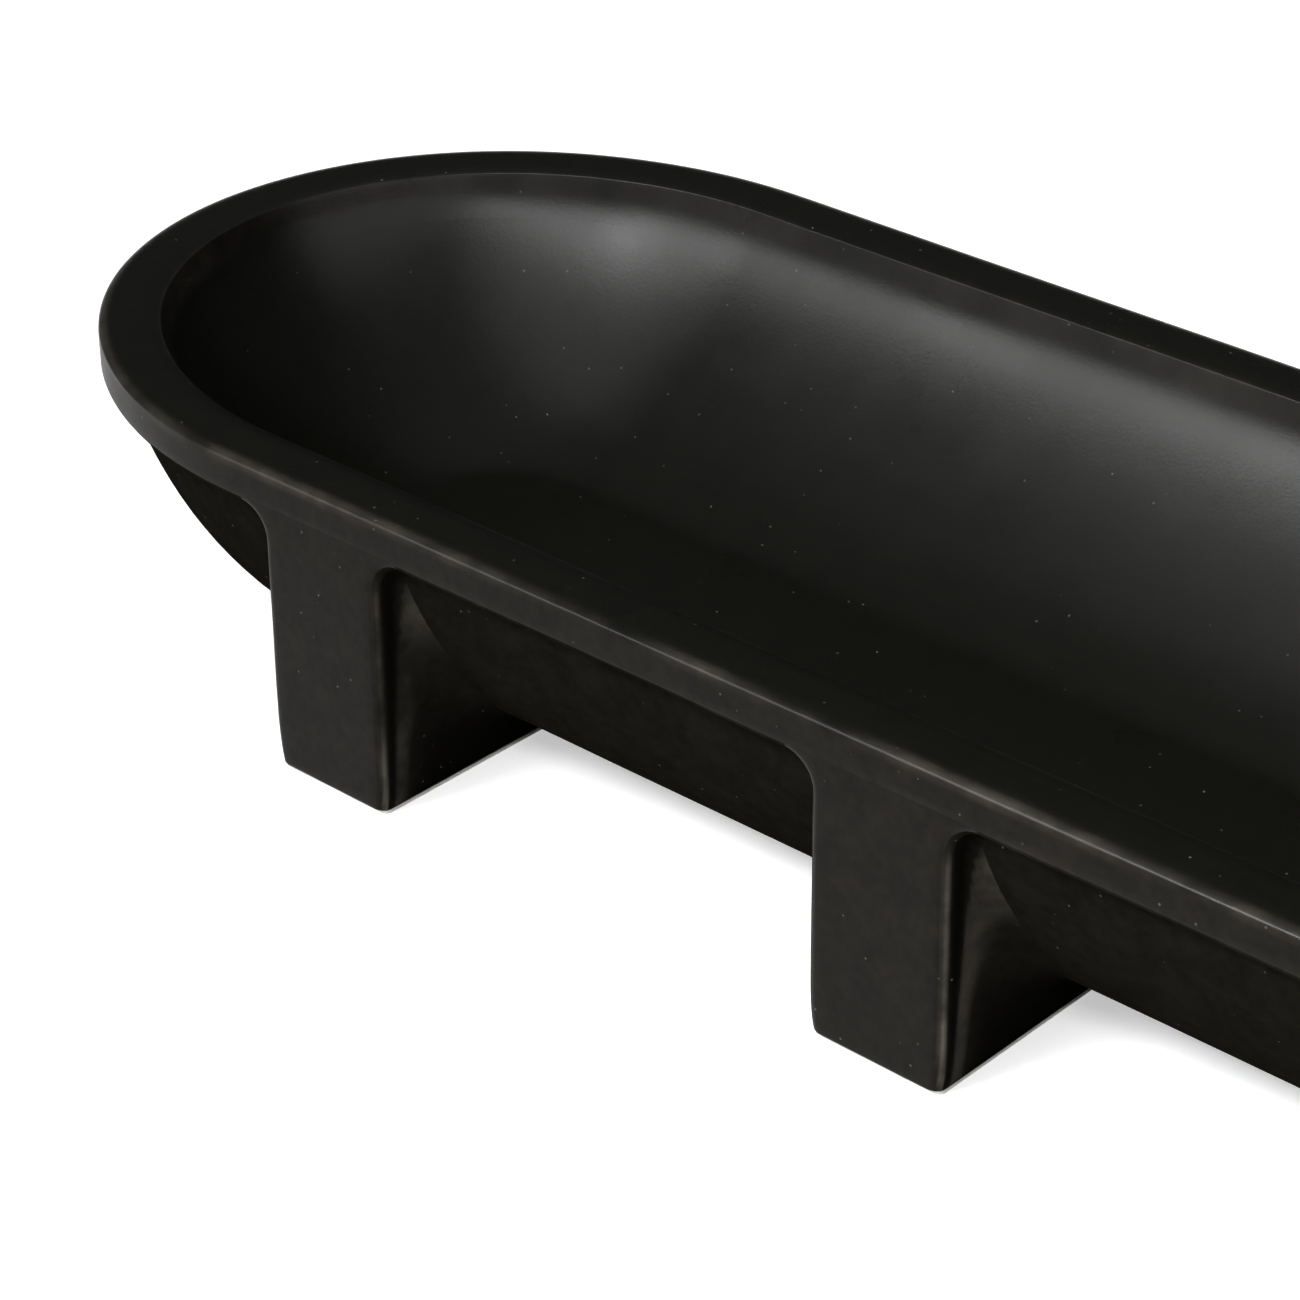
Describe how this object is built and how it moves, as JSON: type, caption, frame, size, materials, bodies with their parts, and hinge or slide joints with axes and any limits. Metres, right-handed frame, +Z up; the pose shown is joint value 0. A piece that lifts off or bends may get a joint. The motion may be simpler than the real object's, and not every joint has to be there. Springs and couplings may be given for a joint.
{
  "type": "ikebana suiban",
  "caption": "Long oval footed ceramic dish for flower arranging, with a thick flat-topped rim, a boat-shaped basin set back under it and slab feet flush with the rim.",
  "frame": {"origin": "on the table, under the middle of the dish", "axes": "+X along the dish, +Y to its back, +Z up"},
  "size_m": [0.61, 0.201, 0.0787],
  "materials": {
    "black_glaze": "satin",
    "pad_felt": "matte"
  },
  "bodies": {
    "root": {"basin": "black_glaze", "rim": "black_glaze", "foot_left": "black_glaze", "foot_middle": "black_glaze", "foot_right": "black_glaze", "pad_left_front": "pad_felt", "pad_left_back": "pad_felt", "pad_middle_front": "pad_felt", "pad_middle_back": "pad_felt", "pad_right_front": "pad_felt", "pad_right_back": "pad_felt"}
  },
  "joints": []
}
